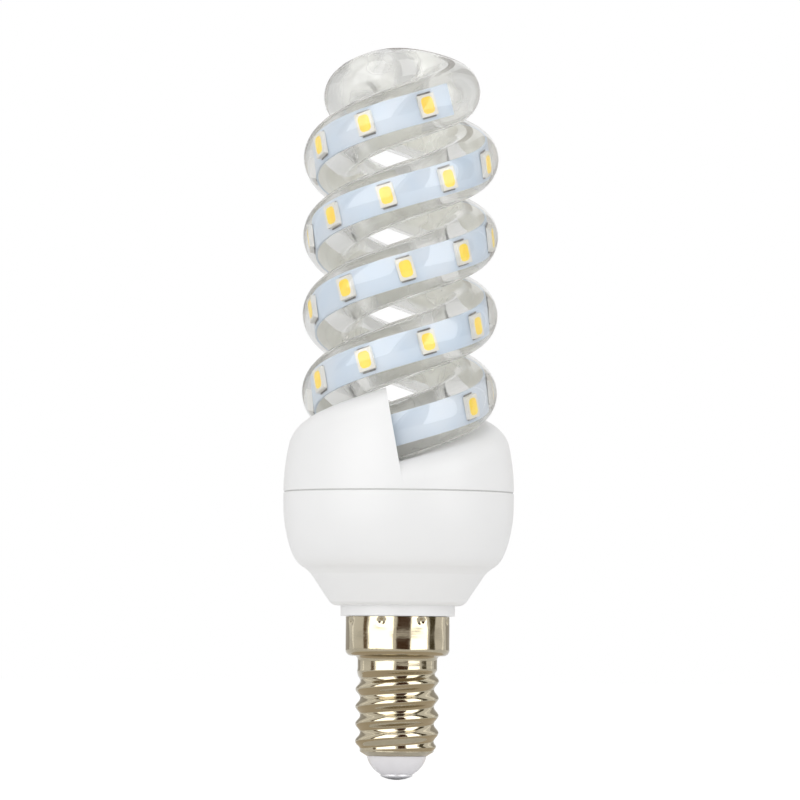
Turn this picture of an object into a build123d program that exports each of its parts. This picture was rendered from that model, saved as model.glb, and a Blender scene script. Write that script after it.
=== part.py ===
from build123d import *
import os
from math import atan, cos, hypot, pi, radians, sin, sqrt

# Spiral LED lamp with an E14 screw cap, in millimetres.
# The lamp stands cap down: Z runs up its axis and the origin is the tip of the centre contact.
# Angles go anticlockwise seen from above, from the front (-Y) towards the right (+X).

# Screw cap
cap_pitch = 2.822
crest_radius = 6.87
root_radius = 6.05
crest_round = 0.75
crest_angle = 50
thread_foot = 0.47
thread_root_sink = 0.2
thread_turns = 3.75
thread_start_angle = 180.0
thread_z = 5.6
sheet = 0.4
lip_radius = 4.9
lip_z = 3.9
taper_top = 4.6
neck_radius = 6.5
neck_z = 17.9
neck_flare = 0.3
shoulder_z = 20.2
shoulder_inner_round = 0.6
skirt_round = 1.0
skirt_radius = 8.5
skirt_top = 26.6
dimple_count = 8
dimple_radius = 0.9
dimple_depth = 0.25
dimple_below_rim = 0.8

# Centre contact and its insulator
contact_radius = 2.6
contact_height = 0.9
contact_crown = 0.6
stem_radius = 1.0
stem_stand = 0.4
insulator_top = 5.6
insulator_bulge = (3.35, 2.15)
insulator_lip = 0.2

# Fits between pieces
slip = 0.1
seat_gap = 0.05

# Lower housing: heights, and how far the bell stays inside its widest radius
housing_radius = 18.85
seam_z = 46.9
lower_wall = 1.6
plug_bottom = 11.0
plug_bore = 4.3
collar_radius = 9.35
step_z = 28.4
rim_radius = 10.65
rim_round = 0.6
rim_crown = 0.18
cone_start_z = 29.1
cone_end_in = 4.65
cone_end_z = 33.5
waist_in = 3.8
waist_z = 34.3
bulge_start_in = 3.05
bulge_start_z = 34.8
bulge_start_lean = 0.75
bulge_mid_in = 1.25
bulge_mid_z = 37.5
bulge_high_in = 0.25
bulge_high_z = 41.6
seam_chamfer = 0.2

# Snap fit and spigot at the seam
spigot_length = 2.5
spigot_thickness = 1.2
spigot_root = 0.5
spigot_root_z = 1.0
spigot_root_slope = 0.6
bead_height = 0.3
bead_width = 0.8
bead_low = 0.2
groove_mouth = 0.5
groove_floor = 0.2

# Upper housing
upper_wall = 1.3
egg_height = 26.0
rim_fillet = 4.0
rim_search_in = 4.85
shortest_rim = 20.0
wall_lean = 10.4
hub_radius = 4.0
well_radius = 5.0
hub_z = 58.0
ramp_gap = 0.3
ramp_turn = 190.0
ramp_top_clearance = 0.1
tunnel_past_tail_angle = 10.0
tunnel_mouth_angle = 8.0
tab_count = 4
tab_width = 5.0
tab_thickness = 1.1
tab_overlap = 1.0

# Spiral tube: two arms half a turn apart, joined by an S over the axis
coil_pitch = 25.6
coil_radius = 11.3
tube_radius = 4.7
tube_wall = 0.8
coil_turns = 2
entry_z = 56.8
tail_angle = 40.0
bend_angle = 26.0
level_share = 0.828
mid_share = 0.497
mid_slope = 0.964
quarter_circle_handle = 0.5523

# Light strips and their LEDs
strip_thickness = 0.3
strip_width = 5.0
strip_tail_angle = 60.0
strip_end_angle = 755.0
led_length = 2.8
led_width = 3.5
led_height = 0.8
led_clearance = 0.335
led_step_angle = 41.5
window_length = 2.0
window_width = 2.7
window_depth = 0.3
window_round = 0.7
led_first_angles_a = [55.0, 280.5]
led_count_a = [5, 12]
led_first_angles_b = [32.5]
led_count_b = [18]

# Adhesive pads that bond the tube ends under the roof of the upper housing
pad_width = 3.0
pad_bite = 0.4
pad_from_angle = 34.0
pad_to_angle = 21.0

# Driver board and its ledge
board_in = 1.05
board_thickness = 1.2
board_rise = 1.5
ledge_width = 1.5
ledge_depth = 3.4
ledge_foot = 0.9
ledge_root = 0.8

# What the driver board carries
input_can_radius = 4.0
input_can_height = 11.5
output_can_radius = 3.15
output_can_height = 7.5
output_can_x = 6.2
output_can_y = 4.8
can_groove = 0.3
can_groove_z = 1.5
choke_radius = 4.0
choke_height = 7.0
choke_flange = 0.8
choke_hub = 1.7
choke_x = -6.5
choke_y = 5.5
winding_inset = 0.4
film_length = 7.0
film_width = 4.0
film_height = 5.6
film_round = 0.5
film_y = -9.0
fuse_radius = 1.25
fuse_length = 7.0
fuse_round = 0.5
fuse_y = 8.6
fuse_leg = 0.3
fuse_leg_radius = 0.3
fuse_leg_in = 1.0
bridge_size = (4.7, 3.9, 2.5)
bridge_x = -6.0
bridge_y = -5.5
chip_size = (4.9, 3.9, 1.5)
chip_x = 3.0
chip_y = -6.5
package_chamfer = 0.25
resistor_size = (2.0, 1.25, 0.5)
resistor_step = 2.6
resistor_count = 4
resistor_y = -1.5

# Wires and leads
wire_radius = 0.5
wire_bend = 2.0
wire_x = 6.6
plug_wire_x = 2.4
plug_wire_z = 20.5
fan_out_z = 27.5
fan_out_in = 0.9
upright_z = 32.0
live_straight_z = 12.0
neutral_foot_z = 7.0
neutral_turn_z = 11.0
strip_lead_radius = 0.4
lead_hole = 0.6
lead_spread = 1.6
lead_place_radius = 12.6
lead_rise = 4.0
lead_bend = 1.0
lead_below_strip = 3.0
lead_past_strip = 1.0
lead_closing = 0.5

# Worked out from the sizes above
slope = atan(coil_pitch / (2 * pi * coil_radius))
rise_per_degree = coil_pitch / 360
ramp_z = entry_z - tube_radius / cos(slope) - ramp_gap
bend_start_angle = 360 * coil_turns + bend_angle
bore_radius = tube_radius - tube_wall
led_reach = sqrt(bore_radius**2 - (led_width / 2) ** 2)
strip_radius = coil_radius + led_reach - led_height - seat_gap - led_clearance
board_radius = housing_radius - lower_wall - board_in
board_z = bulge_mid_z + board_rise
board_top = board_z + board_thickness
groove_z = seam_z - spigot_length / 2 - bead_low
lower_bore = housing_radius - lower_wall
spigot_radius = lower_bore - 2 * slip

os.makedirs("parts", exist_ok=True)


def outward(angle):
    # Level direction that points away from the axis at an angle from the front
    return Vector(sin(radians(angle)), -cos(radians(angle)), 0)


def onward(angle):
    # Level direction of travel, anticlockwise, at an angle from the front
    return Vector(cos(radians(angle)), sin(radians(angle)), 0)


def coil_path(radius, start, stop, height):
    # Helix of the coil's pitch from one angle to another, starting at the given height
    turn = stop - start
    path = Helix(coil_pitch, rise_per_degree * turn, radius, mode=Mode.PRIVATE)
    return path.rotate(Axis.Z, start - 90).translate((0, 0, height))


def coil_height(angle):
    # Height of the centre line of an arm, at an angle from that arm's own entry
    return entry_z + rise_per_degree * angle


def save(part, name):
    part.part.label = name
    export_step(part.part, f"parts/{name}.step")


# Centre contact: a low dome with a stem that carries the live wire
with BuildPart() as contact:
    with BuildSketch(Plane.XZ):
        with BuildLine():
            ThreePointArc(
                (0, 0),
                (contact_radius / 2, contact_crown / 4),
                (contact_radius, contact_crown),
            )
            Polyline(
                (contact_radius, contact_crown),
                (contact_radius, contact_height),
                (stem_radius, contact_height),
                (stem_radius, insulator_top + stem_stand),
                (0, insulator_top + stem_stand),
                (0, 0),
            )
        make_face()
    revolve(axis=Axis.Z)
save(contact, "centre_contact")

# Insulator: a cone that fills the lip of the shell
insulator_seat = lip_radius - sheet - slip
insulator_bore = stem_radius + seat_gap
insulator_body = root_radius - sheet - 3 * slip
with BuildPart() as insulator:
    with BuildSketch(Plane.XZ):
        with BuildLine():
            Line((insulator_bore, contact_height), (contact_radius, contact_height))
            ThreePointArc(
                (contact_radius, contact_height),
                insulator_bulge,
                (insulator_seat, lip_z - insulator_lip),
            )
            Polyline(
                (insulator_seat, lip_z - insulator_lip),
                (insulator_seat, lip_z + sheet),
                (insulator_body, taper_top + sheet + 2 * slip),
                (insulator_body, insulator_top),
                (insulator_bore, insulator_top),
                (insulator_bore, contact_height),
            )
        make_face()
    revolve(axis=Axis.Z)
save(insulator, "cap_insulator")


def cap_body(inset):
    # Solid outer form of the cap, or with inset the space inside its sheet metal
    neck_corner = (neck_radius + shoulder_inner_round, shoulder_z - shoulder_inner_round)
    skirt_corner = (skirt_radius - skirt_round, shoulder_z + skirt_round)
    with BuildPart() as body:
        with BuildSketch(Plane.XZ):
            with BuildLine():
                low = Polyline(
                    (0, lip_z),
                    (lip_radius - inset, lip_z),
                    (root_radius - inset, taper_top + inset / 2),
                    (root_radius - inset, neck_z - neck_flare),
                    (neck_radius - inset, neck_z),
                    (neck_radius - inset, neck_corner[1]),
                )
                turn_out = CenterArc(neck_corner, shoulder_inner_round + inset, 180, -90)
                turn_up = CenterArc(skirt_corner, skirt_round - inset, -90, 90)
                Line(turn_out @ 1, turn_up @ 0)
                Polyline(turn_up @ 1, (skirt_radius - inset, skirt_top), (0, skirt_top), low @ 0)
            make_face()
        revolve(axis=Axis.Z)
        # Rolled thread: a rounded ridge whose foot is sunk into the root cylinder
        turns = Helix(cap_pitch, cap_pitch * thread_turns, root_radius, mode=Mode.PRIVATE)
        thread = turns.rotate(Axis.Z, thread_start_angle - 90).translate((0, 0, thread_z))
        crest = crest_radius - root_radius - inset
        foot = cap_pitch * thread_foot
        across = outward(thread_start_angle)
        with BuildSketch(Plane(origin=thread @ 0, z_dir=thread % 0, x_dir=across)):
            with BuildLine():
                arc = CenterArc((crest - crest_round, 0), crest_round, -crest_angle, 2 * crest_angle)
                Polyline(
                    arc @ 1,
                    (-inset - thread_root_sink, foot),
                    (-inset - thread_root_sink, -foot),
                    arc @ 0,
                )
            make_face()
        sweep(path=thread, is_frenet=True)
    return body


# Screw shell, with a ring of punch marks that hold it to the housing
with BuildPart() as shell:
    add(cap_body(0).part)
    add(cap_body(sheet).part, mode=Mode.SUBTRACT)
    dimple_out = skirt_radius + dimple_radius - dimple_depth
    with Locations((0, 0, skirt_top - dimple_below_rim)):
        with PolarLocations(dimple_out, dimple_count, start_angle=180 / dimple_count):
            Sphere(dimple_radius, mode=Mode.SUBTRACT)
save(shell, "screw_shell")


def lower_outline(inset):
    # Bell of the lower housing from the collar to the seam, moved towards the axis by inset
    def at(radius, z):
        return (radius - inset, z)

    rim_start = at(rim_radius - rim_round, step_z)
    cone_start = at(rim_radius + rim_round, cone_start_z)
    cone_end = at(housing_radius - cone_end_in, cone_end_z)
    bulge_start = at(housing_radius - bulge_start_in, bulge_start_z)
    Line(at(collar_radius, skirt_top + slip), at(collar_radius, step_z))
    Line(at(collar_radius, step_z), rim_start)
    ThreePointArc(rim_start, at(rim_radius, step_z + rim_crown), cone_start)
    Line(cone_start, cone_end)
    ThreePointArc(cone_end, at(housing_radius - waist_in, waist_z), bulge_start)
    Spline(
        bulge_start,
        at(housing_radius - bulge_mid_in, bulge_mid_z),
        at(housing_radius - bulge_high_in, bulge_high_z),
        at(housing_radius, seam_z),
        tangents=[(1.0, bulge_start_lean), (0, 1)],
    )


plug_radius = min(root_radius, neck_radius) - sheet - 1.5 * slip
skirt_bore = skirt_radius - sheet - slip
plug_shoulder_z = shoulder_z + sheet + slip
with BuildPart() as lower:
    with BuildSketch(Plane.XZ):
        with BuildLine():
            lower_outline(0)
            Polyline(
                (housing_radius, seam_z),
                (0, seam_z),
                (0, plug_bottom),
                (plug_radius, plug_bottom),
                (plug_radius, plug_shoulder_z),
                (skirt_bore - skirt_round, plug_shoulder_z),
                (skirt_bore, plug_shoulder_z + skirt_round),
                (skirt_bore, skirt_top + slip),
                (collar_radius, skirt_top + slip),
            )
        make_face()
    revolve(axis=Axis.Z)
    with BuildSketch(Plane.XZ):
        with BuildLine():
            lower_outline(lower_wall)
            Polyline(
                (lower_bore, seam_z),
                (0, seam_z),
                (0, plug_bottom),
                (plug_bore, plug_bottom),
                (plug_bore, shoulder_z + sheet + lower_wall),
                (skirt_bore - lower_wall, shoulder_z + sheet + 2 * lower_wall),
                (skirt_bore - lower_wall, skirt_top + slip),
                (collar_radius - lower_wall, skirt_top + slip),
            )
        make_face()
    revolve(axis=Axis.Z, mode=Mode.SUBTRACT)
    # Ledge that the driver board rests on
    with BuildSketch(Plane.XZ):
        with BuildLine():
            ledge_inner = board_radius + slip - ledge_width
            Polyline(
                (ledge_inner, board_z),
                (ledge_inner, board_z - ledge_depth),
                (ledge_inner + ledge_foot, board_z - ledge_depth),
                (board_radius + ledge_root, board_z),
                close=True,
            )
        make_face()
    revolve(axis=Axis.Z)
    # Groove for the snap bead of the upper housing
    groove_half = bead_width / 2 + 2 * slip
    with BuildSketch(Plane.XZ):
        with BuildLine():
            Polyline(
                (lower_bore - groove_mouth, groove_z - groove_half),
                (lower_bore + bead_height, groove_z - groove_floor / 2),
                (lower_bore + bead_height, groove_z + groove_floor / 2),
                (lower_bore - groove_mouth, groove_z + groove_half),
                close=True,
            )
        make_face()
    revolve(axis=Axis.Z, mode=Mode.SUBTRACT)
    chamfer(lower.edges().filter_by(GeomType.CIRCLE).sort_by(SortBy.RADIUS)[-1], seam_chamfer)
save(lower, "lower_housing")


def dome_body(inset):
    # Egg with two helical ramps and a level hub, or with inset the hollow under its walls
    lean = radians(wall_lean)
    with BuildPart() as dome:
        with BuildSketch(Plane.XZ):
            with BuildLine():
                Line((0, seam_z), (housing_radius - inset, seam_z))
                EllipticalCenterArc(
                    (0, seam_z), housing_radius - inset, egg_height - inset, start_angle=0, arc_size=90
                )
                Line((0, seam_z + egg_height - inset), (0, seam_z))
            make_face()
        revolve(axis=Axis.Z)
        for start in (0, 180):
            # The ramp is swept by a leaning rectangle, which leaves the step wall at its start
            facing = onward(start) * cos(lean) + Vector(0, 0, sin(lean))
            base = Plane(origin=(0, 0, ramp_z - inset), x_dir=outward(start), z_dir=-facing)
            with BuildSketch(base):
                with Locations((hub_radius - inset, 0)):
                    Rectangle(housing_radius, egg_height, align=(Align.MIN, Align.MIN))
            if inset:
                extrude(amount=inset, mode=Mode.SUBTRACT)
                with BuildSketch(base):
                    with Locations((hub_radius - inset, 0)):
                        Rectangle(housing_radius, egg_height, align=(Align.MIN, Align.MIN))
            path = coil_path(coil_radius, start, start + ramp_turn, ramp_z - inset)
            sweep(path=path, is_frenet=True, mode=Mode.SUBTRACT)
        with BuildSketch(Plane.XY.offset(hub_z - inset)):
            Circle(well_radius + inset)
        extrude(amount=egg_height, mode=Mode.SUBTRACT)
        with BuildSketch(Plane.XY.offset(ramp_z + coil_pitch / 2 + ramp_top_clearance)):
            Circle(housing_radius)
        extrude(amount=egg_height, mode=Mode.SUBTRACT)
        if inset == 0:
            rim_inside = housing_radius - rim_search_in
            rim = dome.edges().filter_by(lambda e: hypot((e @ 0.5).X, (e @ 0.5).Y) > rim_inside)
            rim = rim.filter_by(lambda e: e.length > shortest_rim and (e @ 0.5).Z > seam_z + upper_wall)
            fillet(rim, rim_fillet)
    return dome


def tube_run(radius, start, stop):
    # Solid round bar along both arms, between two angles
    with BuildPart() as run:
        for side in (0, 180):
            path = coil_path(coil_radius, side + start, side + stop, coil_height(start))
            with BuildSketch(Plane(origin=path @ 0, z_dir=path % 0)):
                Circle(radius)
            sweep(path=path, is_frenet=True)
    return run


with BuildPart() as upper:
    add(dome_body(0).part)
    add(dome_body(upper_wall).part, mode=Mode.SUBTRACT)
    # Spigot with its snap bead, below the seam
    spigot_bore = spigot_radius - spigot_thickness
    root_outer = housing_radius - spigot_root
    with BuildSketch(Plane.XZ):
        with BuildLine():
            Polyline(
                (spigot_bore, seam_z - spigot_length),
                (spigot_radius, seam_z - spigot_length),
                (spigot_radius, groove_z - bead_width / 2),
                (spigot_radius + bead_height, groove_z),
                (spigot_radius, groove_z + bead_width / 2),
                (spigot_radius, seam_z),
                (root_outer, seam_z),
                (root_outer, seam_z + spigot_root_z),
                (spigot_bore, seam_z + spigot_root_z + spigot_root_slope),
                close=True,
            )
        make_face()
    revolve(axis=Axis.Z)
    # Tabs that hold the driver board down on its ledge
    with BuildSketch(Plane.XY.offset(board_top + slip)):
        tab_outer = board_radius + slip
        Circle(tab_outer)
        Circle(tab_outer - tab_thickness, mode=Mode.SUBTRACT)
        with PolarLocations(tab_outer, tab_count, start_angle=45):
            Rectangle(2 * tab_outer, tab_width, mode=Mode.INTERSECT)
    extrude(amount=seam_z - board_top - spigot_length + tab_overlap)
    # Tunnels that the tube ends pass through
    tunnel_start = -tail_angle - tunnel_past_tail_angle
    add(tube_run(tube_radius + slip, tunnel_start, tunnel_mouth_angle).part, mode=Mode.SUBTRACT)
    chamfer(upper.edges().filter_by(GeomType.CIRCLE).sort_by(SortBy.RADIUS)[-1], seam_chamfer)
save(upper, "upper_housing")


def crossing_path():
    # S over the axis: two half circles of half the coil radius, levelling out at the middle
    half = coil_radius / 2
    handle = quarter_circle_handle * half
    climb = coil_pitch / (2 * pi * coil_radius)
    length = pi * half
    out, on, up = outward(bend_angle), onward(bend_angle), Vector(0, 0, 1)
    start_z = coil_height(bend_start_angle)
    begin = out * coil_radius + up * start_z
    middle = (out + on) * half + up * (start_z + climb * length * mid_share)
    centre = up * (start_z + climb * length * level_share)
    first = [
        begin,
        begin + on * handle + up * (handle * climb),
        middle + out * handle - up * (handle * climb * mid_slope),
        middle,
    ]
    second = [
        middle,
        middle - out * handle + up * (handle * climb * mid_slope),
        centre + on * handle,
        centre,
    ]
    far = [[Vector(-p.X, -p.Y, p.Z) for p in reversed(run)] for run in (second, first)]
    return Wire([Bezier(*run, mode=Mode.PRIVATE) for run in [first, second] + far])


def tube_body(radius):
    # Both arms and the crossing as one solid bar
    crossing = crossing_path()
    with BuildPart() as body:
        with BuildSketch(Plane(origin=crossing @ 0, z_dir=crossing % 0)):
            Circle(radius)
        sweep(path=crossing)
        add(tube_run(radius, -tail_angle, bend_start_angle).part)
    return body


with BuildPart() as tube:
    add(tube_body(tube_radius).part)
    add(tube_body(bore_radius).part, mode=Mode.SUBTRACT)
save(tube, "spiral_tube")


def light_strip(side):
    # Flexible strip that follows the outer side of the bore
    start = side - strip_tail_angle
    radius = strip_radius - strip_thickness / 2
    path = coil_path(radius, start, side + strip_end_angle, coil_height(-strip_tail_angle))
    with BuildPart() as strip:
        with BuildSketch(Plane(origin=path @ 0, z_dir=path % 0, x_dir=outward(start))):
            Rectangle(strip_thickness, strip_width)
        sweep(path=path, is_frenet=True)
    return strip


def led_places(side, first_angles, counts):
    # Seats of the LEDs on one strip: X along the strip, Z away from the axis
    climb = coil_pitch / (2 * pi * strip_radius)
    places = []
    for first, count in zip(first_angles, counts):
        for i in range(count):
            angle = first + i * led_step_angle
            out = outward(side + angle)
            along = onward(side + angle) + Vector(0, 0, climb)
            seat = out * (strip_radius + seat_gap) + Vector(0, 0, coil_height(angle))
            places.append(Plane(origin=seat, x_dir=along, z_dir=out))
    return places


def led_bodies(places):
    # Moulded packages with a pocket for the phosphor
    with BuildPart() as leds:
        for place in places:
            with BuildSketch(place):
                Rectangle(led_length, led_width)
            extrude(amount=led_height)
            with BuildSketch(place.offset(led_height - window_depth)):
                RectangleRounded(window_length, window_width, window_round)
            extrude(amount=window_depth, mode=Mode.SUBTRACT)
    return leds


def led_windows(places):
    # Yellow phosphor that fills each pocket
    with BuildPart() as windows:
        for place in places:
            with BuildSketch(place.offset(led_height - window_depth)):
                RectangleRounded(window_length, window_width, window_round)
            extrude(amount=window_depth)
    return windows


led_rows = [("a", 0, led_first_angles_a, led_count_a), ("b", 180, led_first_angles_b, led_count_b)]
for letter, side, first_angles, counts in led_rows:
    places = led_places(side, first_angles, counts)
    save(light_strip(side), f"led_strip_{letter}")
    save(led_bodies(places), f"led_packages_{letter}")
    save(led_windows(places), f"led_windows_{letter}")

# Adhesive pads between the tube ends and the roof above them
roof_above = ramp_z + coil_pitch / 2 - upper_wall - entry_z - seat_gap
pad_base = tube_radius - pad_bite
with BuildPart() as adhesive:
    for side in (0, 180):
        start = side - pad_from_angle
        path = coil_path(coil_radius, start, side - pad_to_angle, coil_height(-pad_from_angle))
        with BuildSketch(Plane(origin=path @ 0, z_dir=path % 0, x_dir=outward(start))):
            with Locations((0, pad_base)):
                Rectangle(pad_width, roof_above * cos(slope) - pad_base, align=(Align.CENTER, Align.MIN))
        sweep(path=path, is_frenet=True)
    add(tube_run(tube_radius + seat_gap, -tail_angle, 0).part, mode=Mode.SUBTRACT)
save(adhesive, "tube_adhesive")


def lead_place(side, spread):
    # Point on the board under the lower end of a strip
    angle = side - strip_tail_angle
    return outward(angle) * lead_place_radius + onward(angle) * spread


# Driver board, with holes for the leads of the strips
lead_spots = [(side, spread) for side in (0, 180) for spread in (-lead_spread, lead_spread)]
with BuildPart() as board:
    with BuildSketch(Plane.XY.offset(board_z)):
        Circle(board_radius)
        with Locations(*[lead_place(side, spread) for side, spread in lead_spots]):
            Circle(lead_hole, mode=Mode.SUBTRACT)
    extrude(amount=board_thickness)
save(board, "driver_board")

# Choke: a ferrite spool with its copper winding
spool_top = board_top + choke_height
with BuildPart() as spool:
    with BuildSketch(Plane.XZ):
        with BuildLine():
            Polyline(
                (0, board_top),
                (choke_radius, board_top),
                (choke_radius, board_top + choke_flange),
                (choke_hub, board_top + choke_flange),
                (choke_hub, spool_top - choke_flange),
                (choke_radius, spool_top - choke_flange),
                (choke_radius, spool_top),
                (0, spool_top),
                close=True,
            )
        make_face()
    revolve(axis=Axis.Z)
spool.part.position = (choke_x, choke_y, 0)
save(spool, "choke_core")
with BuildPart() as winding:
    with BuildSketch(Plane.XY.offset(board_top + choke_flange)):
        with Locations((choke_x, choke_y)):
            Circle(choke_radius - winding_inset)
            Circle(choke_hub, mode=Mode.SUBTRACT)
    extrude(amount=choke_height - 2 * choke_flange)
save(winding, "choke_winding")


def can_capacitor(radius, height):
    # Electrolytic can with the rolled groove near its base, standing on the origin
    with BuildPart() as can:
        with BuildSketch(Plane.XZ):
            with BuildLine():
                Polyline(
                    (0, 0),
                    (radius - can_groove, 0),
                    (radius, can_groove),
                    (radius, can_groove_z - can_groove),
                    (radius - can_groove, can_groove_z),
                    (radius, can_groove_z + can_groove),
                    (radius, height - can_groove),
                    (radius - can_groove, height),
                    (0, height),
                    close=True,
                )
            make_face()
        revolve(axis=Axis.Z)
    return can


# The input capacitor hangs under the board, into the cap's neck, and the output one stands on it
input_can = can_capacitor(input_can_radius, input_can_height)
input_can.part = input_can.part.rotate(Axis.X, 180)
input_can.part.position = (0, 0, board_z)
save(input_can, "input_capacitor")
output_can = can_capacitor(output_can_radius, output_can_height)
output_can.part.position = (output_can_x, output_can_y, board_top)
save(output_can, "output_capacitor")

with BuildPart() as film:
    with BuildSketch(Plane.XY.offset(board_z)):
        with Locations((0, film_y)):
            Rectangle(film_length, film_width)
    extrude(amount=-film_height)
    fillet(film.edges().filter_by(Axis.Z), film_round)
save(film, "film_capacitor")

# Fusible resistor lying under the board on two short legs
with BuildPart() as fuse:
    fuse_z = board_z - fuse_leg - fuse_radius
    leg_x = fuse_length / 2 - fuse_leg_in
    with BuildSketch(Plane.YZ.offset(-fuse_length / 2)):
        with Locations((fuse_y, fuse_z)):
            Circle(fuse_radius)
    extrude(amount=fuse_length)
    fillet(fuse.edges(), fuse_round)
    with BuildSketch(Plane.XY.offset(fuse_z)):
        with Locations((-leg_x, fuse_y), (leg_x, fuse_y)):
            Circle(fuse_leg_radius)
    extrude(amount=fuse_leg + fuse_radius)
save(fuse, "fuse_resistor")


def chip_package(x, y, size):
    # Moulded chip on the board, with bevelled upper edges
    with BuildPart() as package:
        with Locations((x, y, board_top)):
            Box(*size, align=(Align.CENTER, Align.CENTER, Align.MIN))
        chamfer(package.faces().sort_by(Axis.Z)[-1].edges(), package_chamfer)
    return package


save(chip_package(bridge_x, bridge_y, bridge_size), "bridge_rectifier")
save(chip_package(chip_x, chip_y, chip_size), "driver_chip")

with BuildPart() as resistors:
    with Locations((0, resistor_y, board_top)):
        with GridLocations(resistor_step, 1, resistor_count, 1):
            Box(*resistor_size, align=(Align.CENTER, Align.CENTER, Align.MIN))
save(resistors, "chip_resistors")


def wire(points, radius, bend):
    # Round wire along straight runs joined by tangent arcs
    with BuildPart() as lead:
        with BuildLine() as route:
            FilletPolyline(*points, radius=bend)
        path = route.wire()
        with BuildSketch(Plane(origin=path @ 0, z_dir=path % 0)):
            Circle(radius)
        sweep(path=path)
    return lead


# Wires from the cap to the board, the neutral one from the wall of the shell
live_route = [
    (0, 0, insulator_top + stem_stand),
    (0, 0, live_straight_z),
    (-plug_wire_x, 0, plug_wire_z),
    (fan_out_in - wire_x, 0, fan_out_z),
    (-wire_x, 0, upright_z),
    (-wire_x, 0, board_z),
]
neutral_route = [
    (root_radius - sheet - wire_radius - slip, 0, neutral_foot_z),
    (plug_wire_x, 0, neutral_turn_z),
    (plug_wire_x - 2 * slip, 0, plug_wire_z),
    (wire_x - fan_out_in, 0, fan_out_z),
    (wire_x, 0, upright_z),
    (wire_x, 0, board_z),
]
save(wire(live_route, wire_radius, wire_bend), "live_wire")
save(wire(neutral_route, wire_radius, wire_bend), "neutral_wire")


def strip_leads(spread):
    # One lead for each strip, from the strip's lower end to the board
    top_radius = strip_radius - strip_thickness - strip_lead_radius - 2 * slip
    top_z = coil_height(-strip_tail_angle)
    with BuildPart() as leads:
        for side in (0, 180):
            angle = side - strip_tail_angle
            foot = lead_place(side, spread)
            top = outward(angle) * top_radius + onward(angle) * (spread * lead_closing)
            route = [
                foot + Vector(0, 0, board_z),
                foot + Vector(0, 0, board_top + lead_rise),
                top + Vector(0, 0, top_z - lead_below_strip),
                top + onward(angle) * lead_past_strip + Vector(0, 0, top_z + lead_past_strip),
            ]
            add(wire(route, strip_lead_radius, lead_bend).part)
    return leads


save(strip_leads(lead_spread), "strip_leads_positive")
save(strip_leads(-lead_spread), "strip_leads_negative")
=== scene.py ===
import math

import bmesh
import bpy
from mathutils import Matrix, Vector


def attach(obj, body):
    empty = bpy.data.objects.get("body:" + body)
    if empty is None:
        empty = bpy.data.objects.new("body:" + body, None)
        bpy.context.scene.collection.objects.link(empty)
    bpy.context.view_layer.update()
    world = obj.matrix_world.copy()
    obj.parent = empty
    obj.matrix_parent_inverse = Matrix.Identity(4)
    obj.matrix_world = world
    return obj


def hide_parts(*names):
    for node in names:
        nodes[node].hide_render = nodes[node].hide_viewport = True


# Spiral LED lamp: smooth tube, strips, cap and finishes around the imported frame
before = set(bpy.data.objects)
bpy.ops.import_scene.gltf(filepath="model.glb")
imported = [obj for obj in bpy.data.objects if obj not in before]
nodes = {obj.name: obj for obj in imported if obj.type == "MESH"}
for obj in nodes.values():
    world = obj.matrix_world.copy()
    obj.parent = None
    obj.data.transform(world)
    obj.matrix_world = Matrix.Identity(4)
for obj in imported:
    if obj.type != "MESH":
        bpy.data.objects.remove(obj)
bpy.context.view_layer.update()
scene = bpy.context.scene
mm = 0.001
up = Vector((0, 0, 1))
print("frame loaded,", len(nodes), "nodes")


# The coil, in millimetres and degrees: angles run from the front (-Y), anticlockwise from above
coil = {
    "pitch": 25.6,
    "radius": 11.3,
    "entry": 56.8,  # height of the centre line where an arm leaves the housing
    "tail": 40,  # degrees of tube inside the housing
    "turns": 2,
    "bend": 26,  # where the crossing starts, past the last full turn
}


def outward(angle):
    return Vector((math.sin(math.radians(angle)), -math.cos(math.radians(angle)), 0))


def onward(angle):
    return Vector((math.cos(math.radians(angle)), math.sin(math.radians(angle)), 0))


def coilPoint(angle, side, radius):
    # Point on an arm's helix, side 0 or 180, in millimetres
    height = coil["entry"] + coil["pitch"] * angle / 360
    return outward(side + angle) * radius + up * height


def climbAt(radius):
    return coil["pitch"] / (2 * math.pi * radius)


# Meshes: small tools that every piece uses
def finishMesh(bm, name):
    bmesh.ops.recalc_face_normals(bm, faces=bm.faces)
    bmesh.ops.scale(bm, vec=(mm, mm, mm), verts=bm.verts)
    mesh = bpy.data.meshes.new(name)
    bm.to_mesh(mesh)
    bm.free()
    piece = bpy.data.objects.new(name, mesh)
    scene.collection.objects.link(piece)
    return piece


def shadeSmooth(piece, angle):
    # Smooth faces, with edges sharper than the angle kept crisp
    bm = bmesh.new()
    bm.from_mesh(piece.data)
    for face in bm.faces:
        face.smooth = True
    for edge in bm.edges:
        edge.smooth = len(edge.link_faces) == 2 and edge.calc_face_angle(0) < math.radians(angle)
    bm.to_mesh(piece.data)
    bm.free()


def sweepRing(bm, ring, path):
    # Extrudes a ring of edges from point to point, turned by as little as the path turns
    tangents = []
    for i in range(len(path)):
        before = path[max(i - 1, 0)]
        after = path[min(i + 1, len(path) - 1)]
        tangents.append((after - before).normalized())
    for i in range(1, len(path)):
        made = bmesh.ops.extrude_edge_only(bm, edges=ring)["geom"]
        verts = [g for g in made if isinstance(g, bmesh.types.BMVert)]
        ring = [g for g in made if isinstance(g, bmesh.types.BMEdge) and g.is_boundary]
        ring = [e for e in ring if e.verts[0] in verts and e.verts[1] in verts]
        turn = tangents[i - 1].rotation_difference(tangents[i]).to_matrix().to_4x4()
        step = Matrix.Translation(path[i]) @ turn @ Matrix.Translation(-path[i - 1])
        bmesh.ops.transform(bm, matrix=step, verts=verts)
    return ring


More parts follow.
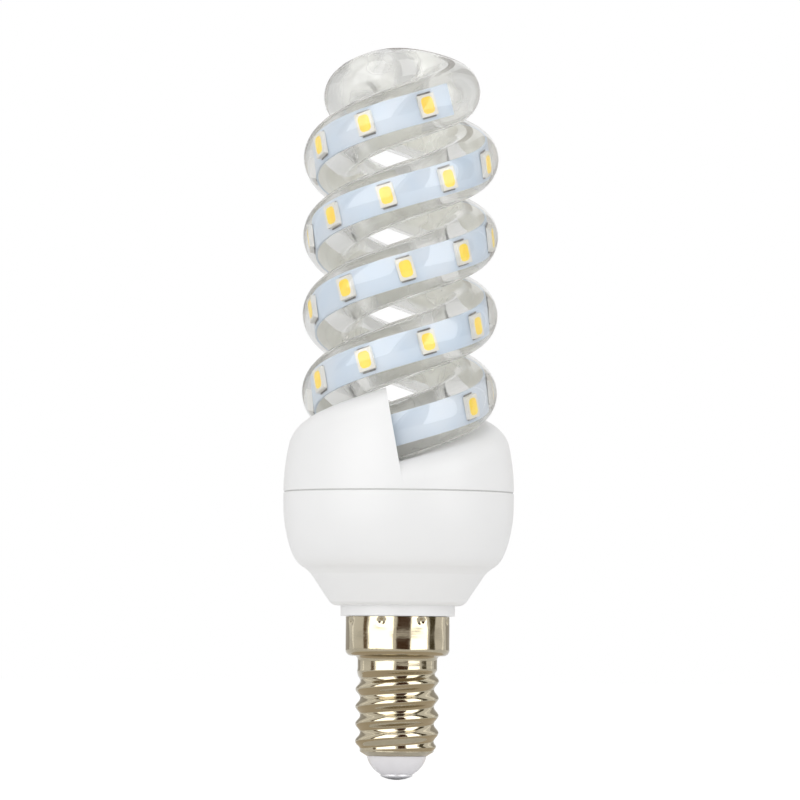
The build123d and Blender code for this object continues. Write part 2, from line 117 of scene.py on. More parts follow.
def lathe(profile, steps):
    # Turned shape from (radius, height) points, in millimetres
    bm = bmesh.new()
    verts = [bm.verts.new((r, 0, z)) for r, z in profile]
    edges = [bm.edges.new(pair) for pair in zip(verts, verts[1:])]
    bmesh.ops.spin(
        bm,
        geom=verts + edges,
        cent=(0, 0, 0),
        axis=(0, 0, 1),
        angle=2 * math.pi,
        steps=steps,
        use_merge=True,
    )
    bmesh.ops.remove_doubles(bm, verts=bm.verts, dist=0.001)
    return bm


# Materials: node helpers
def newFinish(name, color, roughness, metallic=0.0):
    material = bpy.data.materials.new(name)
    material.use_nodes = True
    shader = material.node_tree.nodes["Principled BSDF"]
    shader.inputs["Base Color"].default_value = (*color, 1)
    shader.inputs["Roughness"].default_value = roughness
    shader.inputs["Metallic"].default_value = metallic
    return material, shader


def noiseOn(material, scale, detail=3.0, stretch=(1, 1, 1)):
    tree = material.node_tree
    place = tree.nodes.new("ShaderNodeTexCoord")
    mapping = tree.nodes.new("ShaderNodeMapping")
    mapping.inputs["Scale"].default_value = stretch
    noise = tree.nodes.new("ShaderNodeTexNoise")
    noise.inputs["Scale"].default_value = scale
    noise.inputs["Detail"].default_value = detail
    tree.links.new(place.outputs["Object"], mapping.inputs["Vector"])
    tree.links.new(mapping.outputs["Vector"], noise.inputs["Vector"])
    return noise.outputs["Fac"]


def mottle(material, shader, scale, colors, stretch=(1, 1, 1), span=(0.35, 0.65)):
    # Slow drift between two colours
    tree = material.node_tree
    ramp = tree.nodes.new("ShaderNodeValToRGB")
    ramp.color_ramp.elements[0].position = span[0]
    ramp.color_ramp.elements[1].position = span[1]
    ramp.color_ramp.elements[0].color = (*colors[0], 1)
    ramp.color_ramp.elements[1].color = (*colors[1], 1)
    tree.links.new(noiseOn(material, scale, stretch=stretch), ramp.inputs["Fac"])
    tree.links.new(ramp.outputs["Color"], shader.inputs["Base Color"])


def roughSpread(material, shader, scale, low, high, stretch=(1, 1, 1)):
    tree = material.node_tree
    spread = tree.nodes.new("ShaderNodeMapRange")
    spread.inputs["To Min"].default_value = low
    spread.inputs["To Max"].default_value = high
    tree.links.new(noiseOn(material, scale, stretch=stretch), spread.inputs["Value"])
    tree.links.new(spread.outputs["Result"], shader.inputs["Roughness"])


def grain(material, shader, scale, strength, depth, stretch=(1, 1, 1), detail=4.0):
    tree = material.node_tree
    bump = tree.nodes.new("ShaderNodeBump")
    bump.inputs["Strength"].default_value = strength
    bump.inputs["Distance"].default_value = depth
    tree.links.new(noiseOn(material, scale, detail, stretch), bump.inputs["Height"])
    for link in shader.inputs["Normal"].links:
        tree.links.new(link.from_socket, bump.inputs["Normal"])
    tree.links.new(bump.outputs["Normal"], shader.inputs["Normal"])


def dress(piece, material):
    piece.data.materials.clear()
    piece.data.materials.append(material)


def settle(piece, slotName, *replaced):
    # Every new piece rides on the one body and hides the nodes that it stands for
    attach(piece, "root")
    if replaced:
        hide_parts(*replaced)


# Camera: a long lens a little below the middle of the lamp, looking slightly up
view = {
    "distance": 1.0,
    "elevation": -2.5,
    "roll": 0.45,
    "aim": (0.0001, 0.0, 0.06205),
    "frameHeight": 0.1309,
    "sensor": 36,
    "clip": (0.05, 20),
}


def makeCamera():
    data = bpy.data.cameras.new("camera")
    data.sensor_width = view["sensor"]
    data.lens = data.sensor_width * view["distance"] / view["frameHeight"]
    camera = bpy.data.objects.new("camera", data)
    scene.collection.objects.link(camera)
    tilt = math.radians(view["elevation"])
    back = Vector((0, -math.cos(tilt), math.sin(tilt)))
    aim = Vector(view["aim"])
    turn = (-back).to_track_quat("-Z", "Y").to_matrix().to_4x4()
    roll = Matrix.Rotation(math.radians(view["roll"]), 4, "Z")
    camera.matrix_world = Matrix.Translation(aim + back * view["distance"]) @ turn @ roll
    data.clip_start, data.clip_end = view["clip"]
    scene.camera = camera


# Lights: an even white room and a key lamp, with tall soft boxes and cards that only gloss sees
studio = {
    "ambient": 0.88,
    "keyPlace": (-0.20, -1.0, 0.50),
    "keySize": 0.7,
    "keyPower": 1.3,
    "boxDistance": 0.7,
    "boxHeight": 2.0,
    "boxDrop": 0.4,  # how far boxes and cards reach below the ground
    # Angle, width and strength or colour of each
    "boxes": [(-37, 0.72, 3.7), (49, 0.50, 3.7), (-114, 0.03, 2.0), (120, 0.03, 2.0)],
    "cards": [
        (13, 0.37, (0.09, 0.045, 0.025)),
        (85, 0.22, (0.10, 0.085, 0.05)),
        (-74, 0.13, (0.2, 0.14, 0.09)),
        (149, 0.36, (0.50, 0.48, 0.45)),
        (-149, 0.36, (0.50, 0.48, 0.45)),
        (179, 0.10, (0.12, 0.08, 0.06)),
    ],
    # Painted shade seen in the cap's gloss: the shaded floor round the foot
    "footShadeRing": (0.011, 0.045, 0.0006, (0.64, 0.57, 0.47)),  # radii, height and colour
    "floorSize": 6,
    "floorGlow": 1.12,
    "floorGlowShare": 0.8,
    "bounces": 22,
    "transparentBounces": 32,
}


def makeWorld():
    world = bpy.data.worlds.new("room")
    scene.world = world
    world.use_nodes = True
    tree = world.node_tree
    background = tree.nodes["Background"]
    background.inputs["Color"].default_value = (1, 1, 1, 1)
    rays = tree.nodes.new("ShaderNodeLightPath")
    seen = None
    for name in ("Is Glossy Ray", "Is Transmission Ray"):
        most = tree.nodes.new("ShaderNodeMath")
        most.operation = "MAXIMUM"
        tree.links.new(seen or rays.outputs["Is Camera Ray"], most.inputs[0])
        tree.links.new(rays.outputs[name], most.inputs[1])
        seen = most.outputs[0]
    level = tree.nodes.new("ShaderNodeMapRange")
    level.inputs["To Min"].default_value = studio["ambient"]
    level.inputs["To Max"].default_value = 1.0
    tree.links.new(seen, level.inputs["Value"])
    tree.links.new(level.outputs["Result"], background.inputs["Strength"])


def glossCard(name, angle, width, color, strength):
    # Upright card that faces the lamp and is seen in reflections only
    bm = bmesh.new()
    bmesh.ops.create_grid(bm, x_segments=1, y_segments=1, size=0.5)
    mesh = bpy.data.meshes.new(name)
    bmesh.ops.scale(bm, vec=(width, studio["boxHeight"], 1), verts=bm.verts)
    bm.to_mesh(mesh)
    bm.free()
    card = bpy.data.objects.new(name, mesh)
    scene.collection.objects.link(card)
    place = outward(angle) * studio["boxDistance"] + up * (studio["boxHeight"] / 2 - studio["boxDrop"])
    facing = (-outward(angle)).to_track_quat("Z", "Y").to_matrix().to_4x4()
    card.matrix_world = Matrix.Translation(place) @ facing
    glossOnly(card, color, strength)


def glossOnly(card, color, strength):
    material = bpy.data.materials.new(card.name)
    material.use_nodes = True
    tree = material.node_tree
    tree.nodes.clear()
    glow = tree.nodes.new("ShaderNodeEmission")
    glow.inputs["Color"].default_value = (*color, 1)
    glow.inputs["Strength"].default_value = strength
    out = tree.nodes.new("ShaderNodeOutputMaterial")
    tree.links.new(glow.outputs[0], out.inputs["Surface"])
    card.data.materials.append(material)
    for kind in ("visible_camera", "visible_diffuse", "visible_transmission", "visible_shadow"):
        setattr(card, kind, False)
    card.visible_volume_scatter = False


def makeStudio():
    makeWorld()
    key = bpy.data.lights.new("key", "AREA")
    key.size = studio["keySize"]
    key.energy = studio["keyPower"]
    lamp = bpy.data.objects.new("key", key)
    scene.collection.objects.link(lamp)
    place = Vector(studio["keyPlace"])
    aim = Vector(view["aim"]) - place
    lamp.matrix_world = Matrix.Translation(place) @ aim.to_track_quat("-Z", "Y").to_matrix().to_4x4()
    lamp.visible_glossy = False
    for i, (angle, width, strength) in enumerate(studio["boxes"]):
        glossCard(f"softBox{i}", angle, width, (1, 1, 1), strength)
    for i, (angle, width, color) in enumerate(studio["cards"]):
        glossCard(f"darkCard{i}", angle, width, color, 1.0)
    # Painted shade: a brown ring round the foot, which only the cap's gloss sees, stands in for the
    # shaded floor round the lamp
    inner, outer, height, color = studio["footShadeRing"]
    bm = bmesh.new()
    verts = [bm.verts.new((inner, 0, height)), bm.verts.new((outer, 0, height))]
    edge = bm.edges.new(verts)
    bmesh.ops.spin(
        bm,
        geom=[*verts, edge],
        cent=(0, 0, 0),
        axis=(0, 0, 1),
        angle=2 * math.pi,
        steps=48,
        use_merge=True,
    )
    mesh = bpy.data.meshes.new("footShadeRing")
    bm.to_mesh(mesh)
    bm.free()
    ring = bpy.data.objects.new("footShadeRing", mesh)
    scene.collection.objects.link(ring)
    glossOnly(ring, color, 1.0)
    # Pale floor: white where the camera looks, and it keeps the lamp's shadow
    bm = bmesh.new()
    bmesh.ops.create_grid(bm, x_segments=1, y_segments=1, size=studio["floorSize"])
    mesh = bpy.data.meshes.new("floor")
    bm.to_mesh(mesh)
    bm.free()
    floor = bpy.data.objects.new("floor", mesh)
    scene.collection.objects.link(floor)
    material, shader = newFinish("floorPaper", (0.9, 0.9, 0.9), 0.9)
    tree = material.node_tree
    glow = tree.nodes.new("ShaderNodeEmission")
    glow.inputs["Strength"].default_value = studio["floorGlow"]
    rays = tree.nodes.new("ShaderNodeLightPath")
    share = tree.nodes.new("ShaderNodeMath")
    share.operation = "MULTIPLY"
    share.inputs[1].default_value = studio["floorGlowShare"]
    mix = tree.nodes.new("ShaderNodeMixShader")
    tree.links.new(rays.outputs["Is Camera Ray"], share.inputs[0])
    tree.links.new(share.outputs[0], mix.inputs["Fac"])
    tree.links.new(shader.outputs[0], mix.inputs[1])
    tree.links.new(glow.outputs[0], mix.inputs[2])
    tree.links.new(mix.outputs[0], tree.nodes["Material Output"].inputs["Surface"])
    mesh.materials.append(material)
    scene.view_settings.view_transform = "Standard"
    scene.cycles.max_bounces = studio["bounces"]
    scene.cycles.transmission_bounces = studio["bounces"]
    scene.cycles.transparent_max_bounces = studio["transparentBounces"]


makeCamera()
makeStudio()
print("camera and studio ready")


# Spiral tube: clear moulded plastic, one tube from tail to tail
tube = {
    "radius": 4.69,
    "wall": 0.8,
    "sides": 64,
    "stepAngle": 3,
    "bendSteps": 18,
    "handle": 0.5523,  # Bezier handle of a quarter circle
    "levelShare": 0.828,
    "midShare": 0.497,
    "midSlope": 0.964,
    "creaseAngle": 60,
}


def bezierPoints(a, b, c, d, steps):
    points = []
    for i in range(steps):
        t = i / steps
        s = 1 - t
        points.append(a * s**3 + b * 3 * s * s * t + c * 3 * s * t * t + d * t**3)
    return points


def tubePath():
    # Arm A upwards, the S over the axis, and arm B downwards
    last = 360 * coil["turns"] + coil["bend"]
    count = round((last + coil["tail"]) / tube["stepAngle"])
    angles = [-coil["tail"] + (last + coil["tail"]) * i / count for i in range(count + 1)]
    armA = [coilPoint(a, 0, coil["radius"]) for a in angles[:-1]]
    armB = [coilPoint(a, 180, coil["radius"]) for a in reversed(angles)]
    half = coil["radius"] / 2
    handle = tube["handle"] * half
    climb = climbAt(coil["radius"])
    length = math.pi * half
    out = outward(coil["bend"])
    on = onward(coil["bend"])
    begin = coilPoint(last, 0, coil["radius"])
    middle = (out + on) * half + up * (begin.z + climb * length * tube["midShare"])
    centre = up * (begin.z + climb * length * tube["levelShare"])
    level = up * (handle * climb)
    steep = level * tube["midSlope"]
    rising = [
        (begin, begin + on * handle + level, middle + out * handle - steep, middle),
        (middle, middle - out * handle + steep, centre + on * handle, centre),
    ]
    bend = [p for run in rising for p in bezierPoints(*run, tube["bendSteps"])]
    far = [Vector((-p.x, -p.y, p.z)) for p in reversed(bend)]
    return armA + bend + [centre] + far[:-1] + armB


def makeTube():
    path = tubePath()
    bm = bmesh.new()
    made = bmesh.ops.create_circle(bm, segments=tube["sides"], radius=tube["radius"], cap_ends=False)
    start = (path[1] - path[0]).to_track_quat("Z", "Y").to_matrix().to_4x4()
    bmesh.ops.transform(bm, matrix=Matrix.Translation(path[0]) @ start, verts=made["verts"])
    sweepRing(bm, list(bm.edges), path)
    piece = finishMesh(bm, "spiral_tube_smooth")
    wall = piece.modifiers.new("wall", "SOLIDIFY")
    wall.thickness = tube["wall"] * mm
    wall.offset = -1
    wall.material_offset = 1  # the bore has its own finish
    shadeSmooth(piece, tube["creaseAngle"])
    return piece


cloud = {
    "clearFrom": 12.2,  # distance from the lamp's axis, in millimetres
    "milkyFrom": 9.0,
    "scale": 170,
    "span": (0.43, 0.60),
    "clear": (0.86, 0.86, 0.85),
    "bend": (107, 113, 0.93),  # heights between which the clear tint darkens into painted shade over the top bend, and by how much
    "milkyHighlight": (0.985, 0.985, 0.96),
    "transmission": (0.95, 0.64),
    "roughness": 0.06,
    "shadow": (0.975, 0.975, 0.97),
    # Refractive index and coat: far lower than clear plastic's own, so that the edges stay soft
    "outside": (1.11, 0.8),
    "bore": (1.035, 0.0),
}


def milkyHighlightPatches(material, shader):
    # Pale milky patches on the side that faces the lamp's axis: painted highlights that stand in for the
    # bright reflections inside the coil
    tree = material.node_tree
    place = tree.nodes.new("ShaderNodeTexCoord")
    flat = tree.nodes.new("ShaderNodeVectorMath")
    flat.operation = "MULTIPLY"
    flat.inputs[1].default_value = (1, 1, 0)
    away = tree.nodes.new("ShaderNodeVectorMath")
    away.operation = "LENGTH"
    near = tree.nodes.new("ShaderNodeMapRange")
    near.inputs["From Min"].default_value = cloud["clearFrom"] * mm
    near.inputs["From Max"].default_value = cloud["milkyFrom"] * mm
    patches = tree.nodes.new("ShaderNodeMapRange")
    patches.interpolation_type = "SMOOTHSTEP"
    patches.inputs["From Min"].default_value = cloud["span"][0]
    patches.inputs["From Max"].default_value = cloud["span"][1]
    both = tree.nodes.new("ShaderNodeMath")
    both.operation = "MULTIPLY"
    passing = tree.nodes.new("ShaderNodeMapRange")
    passing.inputs["To Min"].default_value = cloud["transmission"][0]
    passing.inputs["To Max"].default_value = cloud["transmission"][1]
    tint = tree.nodes.new("ShaderNodeMix")
    tint.data_type = "RGBA"
    split = tree.nodes.new("ShaderNodeSeparateXYZ")
    # Painted shade: the clear tint is darkened towards the top bend
    topShade = tree.nodes.new("ShaderNodeMapRange")
    topShade.inputs["From Min"].default_value = cloud["bend"][0] * mm
    topShade.inputs["From Max"].default_value = cloud["bend"][1] * mm
    topShade.inputs["To Min"].default_value = 1.0
    topShade.inputs["To Max"].default_value = cloud["bend"][2]
    clear = tree.nodes.new("ShaderNodeVectorMath")
    clear.operation = "SCALE"
    clear.inputs[0].default_value = cloud["clear"]
    tint.inputs["B"].default_value = (*cloud["milkyHighlight"], 1)
    tree.links.new(place.outputs["Object"], split.inputs[0])
    tree.links.new(split.outputs["Z"], topShade.inputs["Value"])
    tree.links.new(topShade.outputs["Result"], clear.inputs["Scale"])
    tree.links.new(clear.outputs["Vector"], tint.inputs["A"])
    tree.links.new(place.outputs["Object"], flat.inputs[0])
    tree.links.new(flat.outputs["Vector"], away.inputs[0])
    tree.links.new(away.outputs["Value"], near.inputs["Value"])
    # Painted highlight: noise patches turn the plastic milky white and less clear
    tree.links.new(noiseOn(material, cloud["scale"], 1.5), patches.inputs["Value"])
    tree.links.new(near.outputs["Result"], both.inputs[0])
    tree.links.new(patches.outputs["Result"], both.inputs[1])
    tree.links.new(both.outputs[0], passing.inputs["Value"])
    tree.links.new(both.outputs[0], tint.inputs["Factor"])
    tree.links.new(passing.outputs["Result"], shader.inputs["Transmission Weight"])
    tree.links.new(tint.outputs["Result"], shader.inputs["Base Color"])


def clearPlastic(name, bend, coat):
    # Slightly grey clear plastic that passes the lamps' light straight through
    material, shader = newFinish(name, cloud["clear"], cloud["roughness"])
    shader.inputs["IOR"].default_value = bend
    shader.inputs["Coat Weight"].default_value = coat
    shader.inputs["Coat Roughness"].default_value = cloud["roughness"]
    milkyHighlightPatches(material, shader)
    tree = material.node_tree
    rays = tree.nodes.new("ShaderNodeLightPath")
    clear = tree.nodes.new("ShaderNodeBsdfTransparent")
    clear.inputs["Color"].default_value = (*cloud["shadow"], 1)
    mix = tree.nodes.new("ShaderNodeMixShader")
    tree.links.new(rays.outputs["Is Shadow Ray"], mix.inputs["Fac"])
    tree.links.new(shader.outputs[0], mix.inputs[1])
    tree.links.new(clear.outputs[0], mix.inputs[2])
    tree.links.new(mix.outputs[0], tree.nodes["Material Output"].inputs["Surface"])
    return material


spiral = makeTube()
dress(spiral, clearPlastic("clearPlastic", *cloud["outside"]))
spiral.data.materials.append(clearPlastic("clearBore", *cloud["bore"]))
settle(spiral, "clear_tube", "spiral_tube")
print("spiral tube made,", len(spiral.data.polygons), "faces before its wall")


# Light strips: thin flexible boards on the outer side of the bore
strip = {
    "face": 13.6,  # radius of the face that the LEDs sit on
    "thickness": 0.3,
    "width": 5.0,
    "tail": 60,
    "end": 755,
    "steps": 210,
    "creaseAngle": 40,
}
led = {
    "width": 3.5,
    "step": 41.5,
    "runs": {0: [(55.0, 5), (280.5, 12)], 180: [(32.5, 18)]},  # first angle and count, by arm
    "padWidth": 0.27,
    "padLength": 2.3,
    "padHeight": 0.16,
    "padBevel": 0.05,
}


def makeStrip(name, side):
    start = side - strip["tail"]
    middle = strip["face"] - strip["thickness"] / 2
    climb = climbAt(middle)
    across = (up - onward(start) * climb).normalized() * (strip["width"] / 2)
    out = outward(start) * (strip["thickness"] / 2)
    centre = outward(start) * middle + up * (coil["entry"] - coil["pitch"] * strip["tail"] / 360)
    bm = bmesh.new()
    signs = ((1, 1), (1, -1), (-1, -1), (-1, 1))
    face = bm.faces.new([bm.verts.new(centre + out * a + across * b) for a, b in signs])
    turn = math.radians(strip["tail"] + strip["end"])
    rise = coil["pitch"] * (strip["tail"] + strip["end"]) / 360 / strip["steps"]
    made = bmesh.ops.spin(
        bm,
        geom=[face, *face.edges, *face.verts],
        cent=(0, 0, 0),
        axis=(0, 0, 1),
        dvec=(0, 0, rise),
        angle=turn,
        steps=strip["steps"],
        use_duplicate=False,
    )
    if not [g for g in made["geom_last"] if isinstance(g, bmesh.types.BMFace)]:
        bmesh.ops.holes_fill(bm, edges=bm.edges, sides=4)
    bmesh.ops.recalc_face_normals(bm, faces=bm.faces)
    for face in bm.faces:
        spot = face.calc_center_median()
        inwards = face.normal.x * spot.x + face.normal.y * spot.y < -0.5 * spot.xy.length
        face.material_index = 1 if inwards else 0
    return finishMesh(bm, name)


def ledPlaces(side):
    # Frames of the LED seats: X along the strip, Z away from the axis
    places = []
    for first, count in led["runs"][side]:
        for i in range(count):
            angle = first + i * led["step"]
            out = outward(side + angle)
            along = (onward(side + angle) + up * climbAt(strip["face"])).normalized()
            across = out.cross(along)
            turn = Matrix((along, across, out)).transposed().to_4x4()
            places.append(Matrix.Translation(coilPoint(angle, side, strip["face"])) @ turn)
    return places


def makeSolder(name, side):
    # Fillets of solder at both ends of each LED
    bm = bmesh.new()
    for place in ledPlaces(side):
        for end in (-1, 1):
            made = bmesh.ops.create_cube(bm, size=1)
            size = Matrix.Diagonal((led["padLength"], led["padWidth"], led["padHeight"], 1))
            offset = end * (led["width"] + led["padWidth"]) / 2
            shift = Matrix.Translation((0, offset, led["padHeight"] / 2))
            bmesh.ops.transform(bm, matrix=place @ shift @ size, verts=made["verts"])
    bmesh.ops.bevel(
        bm,
        geom=bm.edges,
        offset=led["padBevel"],
        affect="EDGES",
        segments=1,
        profile=0.5,
        material=-1,
    )
    return finishMesh(bm, name)


def stripMask():
    # Pale blue white solder mask with a soft gloss
    material, shader = newFinish("stripMask", (0.66, 0.76, 0.93), 0.3)
    mottle(material, shader, 90, ((0.68, 0.82, 1.0), (0.80, 0.88, 1.0)))
    grain(material, shader, 1500, 0.08, 0.00005)
    return material


def stripBack():
    # Bare cream back of the flexible board, with a faint glow that lifts it in the shade of the coil
    material, shader = newFinish("stripBack", (0.86, 0.85, 0.80), 0.45)
    mottle(material, shader, 150, ((0.80, 0.79, 0.73), (0.96, 0.96, 0.92)), span=(0.42, 0.60))
    grain(material, shader, 700, 0.15, 0.0001)
    shader.inputs["Emission Color"].default_value = (1.0, 0.99, 0.94, 1)
    shader.inputs["Emission Strength"].default_value = 0.13
    return material


def solderMetal():
    material, shader = newFinish("solderMetal", (0.15, 0.14, 0.14), 0.4, 1.0)
    mottle(material, shader, 900, ((0.16, 0.15, 0.145), (0.32, 0.31, 0.30)))
    return material


maskFinish = stripMask()
backFinish = stripBack()
solderFinish = solderMetal()
for letter, side in (("a", 0), ("b", 180)):
    board = makeStrip(f"led_strip_{letter}_smooth", side)
    shadeSmooth(board, strip["creaseAngle"])
    board.data.materials.append(maskFinish)
    board.data.materials.append(backFinish)
    settle(board, "solder_mask", f"led_strip_{letter}")
    solder = makeSolder(f"led_solder_{letter}", side)
    dress(solder, solderFinish)
    settle(solder, "solder_mask")
print("light strips and solder made")


# LEDs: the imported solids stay, with their finishes
def packageFinish():
    material, shader = newFinish("ledPackage", (0.9, 0.87, 0.80), 0.4)
    mottle(material, shader, 700, ((0.95, 0.91, 0.83), (0.98, 0.95, 0.90)))
    return material


def phosphorFinish():
    # Yellow silicone that drifts a little in depth of colour, with a faint glow
    material, shader = newFinish("phosphor", (1.0, 0.66, 0.02), 0.3)
    mottle(material, shader, 420, ((1.0, 0.62, 0.012), (1.0, 0.78, 0.05)))
    shader.inputs["Emission Color"].default_value = (1.0, 0.70, 0.03, 1)
    shader.inputs["Emission Strength"].default_value = 0.30
    return material


ledFinishes = {"led_packages": packageFinish(), "led_windows": phosphorFinish()}
for kind, finish in ledFinishes.items():
    for letter in ("a", "b"):
        dress(nodes[f"{kind}_{letter}"], finish)
print("LED finishes set")


# Screw shell: rolled nickel-plated brass sheet with a dense turned mesh
shell = {
    "pitch": 2.822,
    "root": 6.05,
    "crest": 6.82,
    "crestZ": 5.6,  # height of the first crest at the back
    "fadeIn": (-0.30, 0.05),
    "fadeOut": (3.85, 4.5),
    "rows": 0.14,
    "steps": 240,
    "sheet": 0.4,
    "lip": (4.9, 3.9),
    "taperTop": 4.6,
    "neck": (6.5, 18.0),
    "flare": 0.9,
    "shoulderZ": 20.2,
    "innerRound": 0.6,
    "skirtRadius": 8.5,
    "skirtRound": 1.0,
    "skirtTop": 26.6,
    "dimples": 8,
    "dimpleStart": 27,
    "dimpleRadius": 0.85,
    "dimpleDepth": 0.32,
    "dimpleBelow": 0.8,
    "creaseAngle": 50,
}


def smoothStep(low, high, value):
    t = min(max((value - low) / (high - low), 0), 1)
    return t * t * (3 - 2 * t)


def arcPoints(centre, radius, start, turn, count):
    points = []
    for i in range(count + 1):
        angle = math.radians(start + turn * i / count)
        points.append((centre[0] + radius * math.cos(angle), centre[1] + radius * math.sin(angle)))
    return points


def rowsBetween(low, high, step):
    count = max(1, round(abs(high[1] - low[1]) / step))
    return [
        (low[0] + (high[0] - low[0]) * i / count, low[1] + (high[1] - low[1]) * i / count)
        for i in range(count)
    ]


def shellProfile():
    neck = shell["neck"]
    inner = shell["innerRound"]
    corner = (neck[0] + inner, shell["shoulderZ"] - inner)
    skirt = (shell["skirtRadius"] - shell["skirtRound"], shell["shoulderZ"] + shell["skirtRound"])
    profile = rowsBetween(shell["lip"], (shell["root"], shell["taperTop"]), shell["rows"])
    flareFoot = (shell["root"], neck[1] - shell["flare"])
    profile += rowsBetween((shell["root"], shell["taperTop"]), flareFoot, shell["rows"])
    for r, z in rowsBetween(flareFoot, neck, shell["rows"]):
        share = smoothStep(shell["root"], neck[0], r)
        profile.append((shell["root"] + (neck[0] - shell["root"]) * share, z))
    profile += rowsBetween(neck, (neck[0], corner[1]), 0.3)
    profile += arcPoints(corner, inner, 180, -90, 6)
    profile += arcPoints(skirt, shell["skirtRound"], -90, 90, 8)
    marks = shell["skirtTop"] - shell["dimpleBelow"] - 1.4
    side = shell["skirtRadius"]
    profile += rowsBetween((side, skirt[1] + 0.3), (side, marks), 0.5)
    profile += rowsBetween((side, marks), (side, shell["skirtTop"]), 0.13)
    profile.append((side, shell["skirtTop"]))
    return profile


def rollThread(bm):
    # Pushes the sheet out along the helix, and the punch marks in
    depth = shell["crest"] - shell["root"]
    for vert in bm.verts:
        x, y, z = vert.co
        out = Vector((x, y, 0))
        radius = out.length
        angle = math.atan2(x, -y) / (2 * math.pi)  # turns from the front, to the right
        if z < shell["neck"][1] + 1.5:
            turns = (z - shell["crestZ"]) / shell["pitch"]
            phase = turns - (angle - 0.5)
            wave = 0.5 + 0.5 * math.cos(2 * math.pi * phase)
            fade = smoothStep(*shell["fadeIn"], turns) * (1 - smoothStep(*shell["fadeOut"], turns))
            vert.co += out / radius * depth * wave * fade
        elif z > shell["skirtTop"] - 3:
            for i in range(shell["dimples"]):
                place = shell["dimpleStart"] + 360 * i / shell["dimples"]
                centre = outward(place) * shell["skirtRadius"]
                centre.z = shell["skirtTop"] - shell["dimpleBelow"]
                away = (vert.co - centre).length
                if away < shell["dimpleRadius"]:
                    press = 0.5 + 0.5 * math.cos(math.pi * away / shell["dimpleRadius"])
                    vert.co -= out / radius * shell["dimpleDepth"] * press


def makeShell():
    bm = lathe(shellProfile(), shell["steps"])
    rollThread(bm)
    piece = finishMesh(bm, "screw_shell_rolled")
    wall = piece.modifiers.new("sheet", "SOLIDIFY")
    wall.thickness = shell["sheet"] * mm
    wall.offset = -1
    shadeSmooth(piece, shell["creaseAngle"])
    return piece


def nickelPlate():
    # Bright nickel with fine draw lines round the cap
    material, shader = newFinish("nickelPlate", (0.47, 0.415, 0.30), 0.1, 1.0)
    mottle(material, shader, 60, ((0.45, 0.395, 0.285), (0.50, 0.45, 0.34)))
    roughSpread(material, shader, 900, 0.06, 0.15, stretch=(1, 1, 3))
    grain(material, shader, 1400, 0.10, 0.00004, stretch=(0.5, 0.5, 2.5))
    grain(material, shader, 170, 0.6, 0.0005, detail=1.0)
    return material


cap = makeShell()
dress(cap, nickelPlate())
settle(cap, "nickel", "screw_shell")
print("screw shell made,", len(cap.data.polygons), "faces before its sheet")


# Housings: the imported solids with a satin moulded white
seam = {"height": 46.9, "halfWidth": 0.1, "color": (0.62, 0.62, 0.61)}


def mouldedWhite():
    material, shader = newFinish("mouldedWhite", (0.88, 0.88, 0.878), 0.45)
    shader.inputs["Specular IOR Level"].default_value = 0.3
    mottle(material, shader, 45, ((0.872, 0.872, 0.87), (0.892, 0.892, 0.89)))
    roughSpread(material, shader, 300, 0.40, 0.52)
    grain(material, shader, 2600, 0.06, 0.00004)
    shadeSeam(material, shader)
    return material


def shadeSeam(material, shader):
    # The joint between the two shells lies in its own shade
    tree = material.node_tree
    place = tree.nodes.new("ShaderNodeTexCoord")
    split = tree.nodes.new("ShaderNodeSeparateXYZ")
    gap = tree.nodes.new("ShaderNodeMath")
    gap.operation = "COMPARE"
    gap.inputs[1].default_value = seam["height"] * mm
    gap.inputs[2].default_value = seam["halfWidth"] * mm
    mix = tree.nodes.new("ShaderNodeMix")
    mix.data_type = "RGBA"
    mix.inputs["B"].default_value = (*seam["color"], 1)
    before = shader.inputs["Base Color"].links[0].from_socket
    tree.links.new(place.outputs["Object"], split.inputs[0])
    tree.links.new(split.outputs["Z"], gap.inputs[0])
    tree.links.new(gap.outputs[0], mix.inputs["Factor"])
    tree.links.new(before, mix.inputs["A"])
    tree.links.new(mix.outputs["Result"], shader.inputs["Base Color"])


whiteFinish = mouldedWhite()
for name in ("lower_housing", "upper_housing"):
    dress(nodes[name], whiteFinish)
print("housings finished")


# Cap end: glassy insulator and the tinned contact
insulator = {
    "bore": 1.05,
    "foot": (2.6, 0.9),
    "bulge": ((3.5, 1.35), (4.65, 2.5)),  # handles of the convex side
    "rim": (4.85, 3.86),
    "seat": (4.4, 3.88),
    "plug": ((4.4, 4.35), (5.3, 5.2), (5.35, 5.6)),
    "sideRows": 18,
    "steps": 96,
    "creaseAngle": 40,
}


def insulatorFinish():
    material, shader = newFinish("capInsulator", (0.88, 0.87, 0.90), 0.22)
    mottle(material, shader, 200, ((0.82, 0.81, 0.84), (0.87, 0.86, 0.89)))
    grain(material, shader, 900, 0.05, 0.00005)
    return material


def contactFinish():
    material, shader = newFinish("tinnedContact", (0.72, 0.72, 0.74), 0.42, 0.6)
    mottle(material, shader, 500, ((0.66, 0.66, 0.68), (0.78, 0.78, 0.80)))
    grain(material, shader, 1300, 0.15, 0.0001)
    return material


def makeInsulator():
    # Convex bead that swells to the shell's lip
    foot = insulator["foot"]
    profile = [(insulator["bore"], foot[1]), foot]
    ctrl = [Vector((r, 0, z)) for r, z in (foot, *insulator["bulge"], insulator["rim"])]
    profile += [(p.x, p.z) for p in bezierPoints(*ctrl, insulator["sideRows"])[1:]]
    profile += [insulator["rim"], insulator["seat"], *insulator["plug"]]
    profile.append((insulator["bore"], insulator["plug"][-1][1]))
    profile.append(profile[0])
    piece = finishMesh(lathe(profile, insulator["steps"]), "cap_insulator_bead")
    shadeSmooth(piece, insulator["creaseAngle"])
    return piece


bead = makeInsulator()
dress(bead, insulatorFinish())
settle(bead, "insulator", "cap_insulator")
dress(nodes["centre_contact"], contactFinish())


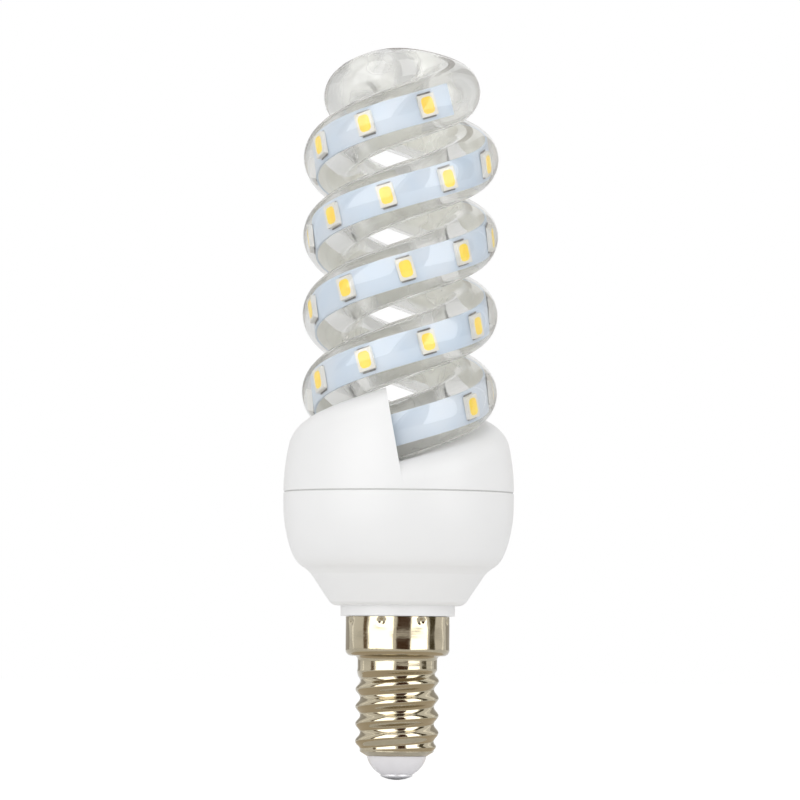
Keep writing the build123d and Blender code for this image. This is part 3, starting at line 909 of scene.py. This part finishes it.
# Inside parts, seen when the housing is taken off
def plainFinish(name, low, high, roughness, metallic=0.0, scale=400, depth=0.00005):
    material, shader = newFinish(name, low, roughness, metallic)
    mottle(material, shader, scale, (low, high))
    grain(material, shader, scale * 3, 0.2, depth)
    return material


inside = {
    "driver_board": plainFinish("boardLaminate", (0.60, 0.52, 0.32), (0.68, 0.60, 0.40), 0.55),
    "tube_adhesive": plainFinish("siliconePad", (0.80, 0.80, 0.78), (0.86, 0.86, 0.84), 0.5),
    "choke_core": plainFinish("ferrite", (0.035, 0.035, 0.038), (0.06, 0.06, 0.065), 0.6),
    "choke_winding": plainFinish("copperWinding", (0.55, 0.22, 0.08), (0.72, 0.33, 0.14), 0.3, 1.0, 1500),
    "input_capacitor": plainFinish("canSleeve", (0.02, 0.025, 0.05), (0.03, 0.04, 0.08), 0.35),
    "output_capacitor": plainFinish("canSleeveSmall", (0.02, 0.03, 0.02), (0.03, 0.05, 0.035), 0.35),
    "film_capacitor": plainFinish("filmCase", (0.62, 0.42, 0.05), (0.72, 0.52, 0.08), 0.4),
    "fuse_resistor": plainFinish("resistorCoat", (0.20, 0.32, 0.20), (0.26, 0.40, 0.26), 0.5),
    "bridge_rectifier": plainFinish("bridgeBody", (0.02, 0.02, 0.02), (0.035, 0.035, 0.035), 0.5),
    "driver_chip": plainFinish("chipBody", (0.018, 0.018, 0.02), (0.03, 0.03, 0.032), 0.55),
    "chip_resistors": plainFinish("resistorBody", (0.03, 0.03, 0.035), (0.09, 0.09, 0.10), 0.4),
    "live_wire": plainFinish("brownSheath", (0.16, 0.07, 0.03), (0.20, 0.09, 0.04), 0.4),
    "neutral_wire": plainFinish("blueSheath", (0.03, 0.09, 0.30), (0.04, 0.12, 0.38), 0.4),
    "strip_leads_positive": plainFinish("redSheath", (0.45, 0.02, 0.02), (0.55, 0.03, 0.03), 0.4),
    "strip_leads_negative": plainFinish("blackSheath", (0.02, 0.02, 0.02), (0.035, 0.035, 0.035), 0.4),
}
for name, finish in inside.items():
    dress(nodes[name], finish)
print("inside parts finished")
